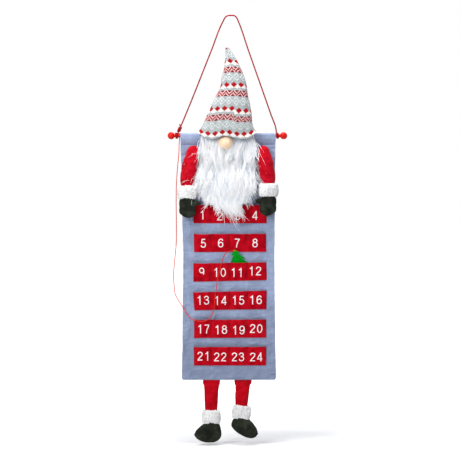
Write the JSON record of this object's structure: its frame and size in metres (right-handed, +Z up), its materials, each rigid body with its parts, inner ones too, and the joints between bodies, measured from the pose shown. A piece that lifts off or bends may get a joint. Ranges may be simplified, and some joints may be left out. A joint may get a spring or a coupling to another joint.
{
  "type": "fabric advent calendar",
  "caption": "Fabric advent calendar: cloth banner on a rod with a stuffed bearded figure, felt pockets in rows and a tree marker on a cord; the limbs swing and the beard lifts.",
  "frame": {"origin": "the hang point, at the middle of the hanging cord's thickness at its top", "axes": "+Z up, front of the calendar towards -Y, +Y towards the wall, +X to the right seen from the front"},
  "size_m": [0.3232, 0.0535, 1.1516],
  "materials": {
    "chambray": "grey-blue chambray weave",
    "lining": "grey-blue cloth",
    "rod_paint": "gloss red paint",
    "ball_paint": "gloss red paint",
    "red_cord": "dark red twisted cord",
    "orange_cord": "orange-red thin cord",
    "green_felt": "green felt",
    "knit": "grey, cream and red knit",
    "skin_cloth": "peach jersey over filling",
    "long_fur": "long white faux fur",
    "red_felt": "red felt",
    "red_fleece": "red fleece",
    "sherpa": "white sherpa pile",
    "black_felt": "black-green felt"
  },
  "bodies": {
    "hanging": {"banner": "chambray", "back_lining": "lining", "hanging_cord": "red_cord", "cord_tie_left": "red_cord", "cord_tie_right": "red_cord", "cord_knot_left": "red_cord", "marker_cord": "orange_cord", "marker_tie": "orange_cord", "hat": "knit", "nose": "skin_cloth", "beard_top": "long_fur", "pocket_row_1": "red_felt", "pocket_row_2": "red_felt", "pocket_row_3": "red_felt", "pocket_row_4": "red_felt", "pocket_row_5": "red_felt", "pocket_row_6": "red_felt"},
    "rod": {"dowel": "rod_paint", "finial_left": "ball_paint", "finial_right": "ball_paint"},
    "beard": {"beard_flap": "long_fur"},
    "left_arm": {"left_sleeve": "red_fleece", "left_arm_cuff": "sherpa", "left_mitten": "black_felt"},
    "right_arm": {"right_sleeve": "red_fleece", "right_arm_cuff": "sherpa", "right_mitten": "black_felt"},
    "left_leg": {"left_leg": "red_felt", "left_leg_cuff": "sherpa", "left_boot": "black_felt"},
    "right_leg": {"right_leg": "red_felt", "right_leg_cuff": "sherpa", "right_boot": "black_felt"},
    "marker": {"tree_marker": "green_felt", "marker_knot": "orange_cord"}
  },
  "joints": [
    {"name": "rod_turn", "type": "hinge", "parent": "hanging", "child": "rod", "pos_m": [0, 0, -0.3245], "axis": [1, 0, 0], "continuous": true},
    {"name": "beard_lift", "type": "hinge", "parent": "hanging", "child": "beard", "pos_m": [-0.009, -0.00405, -0.366], "axis": [-1, 0, 0], "range_deg": [0, 60]},
    {"name": "left_arm_swing", "type": "hinge", "parent": "hanging", "child": "left_arm", "pos_m": [-0.098, -0.00405, -0.3555], "axis": [-1, 0, 0], "range_deg": [0, 80]},
    {"name": "right_arm_swing", "type": "hinge", "parent": "hanging", "child": "right_arm", "pos_m": [0.084, -0.00405, -0.3555], "axis": [-1, 0, 0], "range_deg": [0, 80]},
    {"name": "left_leg_swing", "type": "hinge", "parent": "hanging", "child": "left_leg", "pos_m": [-0.0528, 0, -0.9856], "axis": [-1, 0, 0], "range_deg": [0, 80]},
    {"name": "right_leg_swing", "type": "hinge", "parent": "hanging", "child": "right_leg", "pos_m": [0.0324, 0, -0.9856], "axis": [-1, 0, 0], "range_deg": [0, 80]},
    {"name": "marker_lift", "type": "slide", "parent": "hanging", "child": "marker", "axis": [0, 0, 1], "range_m": [0, 0.02], "deforming": ["marker_cord"]}
  ]
}
